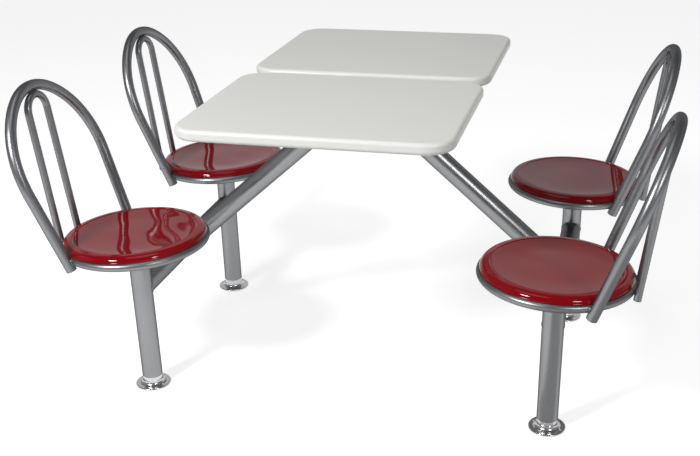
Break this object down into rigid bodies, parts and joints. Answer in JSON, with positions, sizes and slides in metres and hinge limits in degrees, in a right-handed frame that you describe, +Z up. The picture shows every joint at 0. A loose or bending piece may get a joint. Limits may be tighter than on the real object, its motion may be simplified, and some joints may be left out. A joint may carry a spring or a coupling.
{
  "type": "table with attached swivel seats",
  "caption": "Table with flat rounded tops on an inclined tube frame, whose posts carry round swivel seats with bent tube backs.",
  "frame": {"origin": "on the floor, in the middle of the four posts and under the middle of the table", "axes": "+X along the overall length, from the left pair of seats to the right pair; +Y from the front top to the rear top; +Z up"},
  "size_m": [1.4943, 1.0214, 0.7794],
  "materials": {
    "table_top": "smooth moulded off-white top with rounded rim, semi-gloss",
    "frame_paint": "satin silver-grey powder coat",
    "seat_frame_paint": "satin silver-grey powder coat",
    "support_steel": "satin grey paint, hidden under the tops",
    "flange_chrome": "polished bright plating",
    "seat_red": "high-gloss deep red moulding",
    "turned_steel": "turned bright steel",
    "bush_bronze": "sintered bronze, plain",
    "fastener_steel": "zinc plated"
  },
  "bodies": {
    "root": {"arm_left": "frame_paint", "arm_right": "frame_paint", "bearing_housing_front_left": "turned_steel", "bearing_housing_front_right": "turned_steel", "bearing_housing_rear_left": "turned_steel", "bearing_housing_rear_right": "turned_steel", "floor_flange_front_left": "flange_chrome", "floor_flange_front_right": "flange_chrome", "floor_flange_rear_left": "flange_chrome", "floor_flange_rear_right": "flange_chrome", "post_front_left": "frame_paint", "post_front_right": "frame_paint", "post_rear_left": "frame_paint", "post_rear_right": "frame_paint", "side_rail_left": "frame_paint", "side_rail_right": "frame_paint", "swivel_bushes_front_left": "bush_bronze", "swivel_bushes_front_right": "bush_bronze", "swivel_bushes_rear_left": "bush_bronze", "swivel_bushes_rear_right": "bush_bronze", "table_top_front": "table_top", "table_top_rear": "table_top", "top_plate_front": "support_steel", "top_plate_rear": "support_steel", "top_screws": "fastener_steel", "top_spine": "support_steel"},
    "seat_front_left": {"swivel_spindle_front_left": "turned_steel", "spindle_retainer_front_left": "fastener_steel", "seat_cross_front_left": "seat_frame_paint", "seat_ring_front_left": "seat_frame_paint", "hoop_back_front_left": "seat_frame_paint", "back_hairpin_front_left": "seat_frame_paint", "seat_shell_front_left": "seat_red", "seat_screws_front_left": "fastener_steel"},
    "seat_front_right": {"swivel_spindle_front_right": "turned_steel", "spindle_retainer_front_right": "fastener_steel", "seat_cross_front_right": "seat_frame_paint", "seat_ring_front_right": "seat_frame_paint", "hoop_back_front_right": "seat_frame_paint", "back_hairpin_front_right": "seat_frame_paint", "seat_shell_front_right": "seat_red", "seat_screws_front_right": "fastener_steel"},
    "seat_rear_left": {"swivel_spindle_rear_left": "turned_steel", "spindle_retainer_rear_left": "fastener_steel", "seat_cross_rear_left": "seat_frame_paint", "seat_ring_rear_left": "seat_frame_paint", "hoop_back_rear_left": "seat_frame_paint", "back_hairpin_rear_left": "seat_frame_paint", "seat_shell_rear_left": "seat_red", "seat_screws_rear_left": "fastener_steel"},
    "seat_rear_right": {"swivel_spindle_rear_right": "turned_steel", "spindle_retainer_rear_right": "fastener_steel", "seat_cross_rear_right": "seat_frame_paint", "seat_ring_rear_right": "seat_frame_paint", "hoop_back_rear_right": "seat_frame_paint", "back_hairpin_rear_right": "seat_frame_paint", "seat_shell_rear_right": "seat_red", "seat_screws_rear_right": "fastener_steel"}
  },
  "joints": [
    {"name": "swivel_front_left", "type": "hinge", "parent": "root", "child": "seat_front_left", "pos_m": [-0.504, -0.298, 0.401], "axis": [0, 0, 1], "range_deg": [-88, 92]},
    {"name": "swivel_front_right", "type": "hinge", "parent": "root", "child": "seat_front_right", "pos_m": [0.504, -0.298, 0.401], "axis": [0, 0, 1], "range_deg": [-88, 92]},
    {"name": "swivel_rear_left", "type": "hinge", "parent": "root", "child": "seat_rear_left", "pos_m": [-0.504, 0.298, 0.401], "axis": [0, 0, 1], "range_deg": [-87.5, 92.5]},
    {"name": "swivel_rear_right", "type": "hinge", "parent": "root", "child": "seat_rear_right", "pos_m": [0.504, 0.298, 0.401], "axis": [0, 0, 1], "range_deg": [-96, 84]}
  ]
}
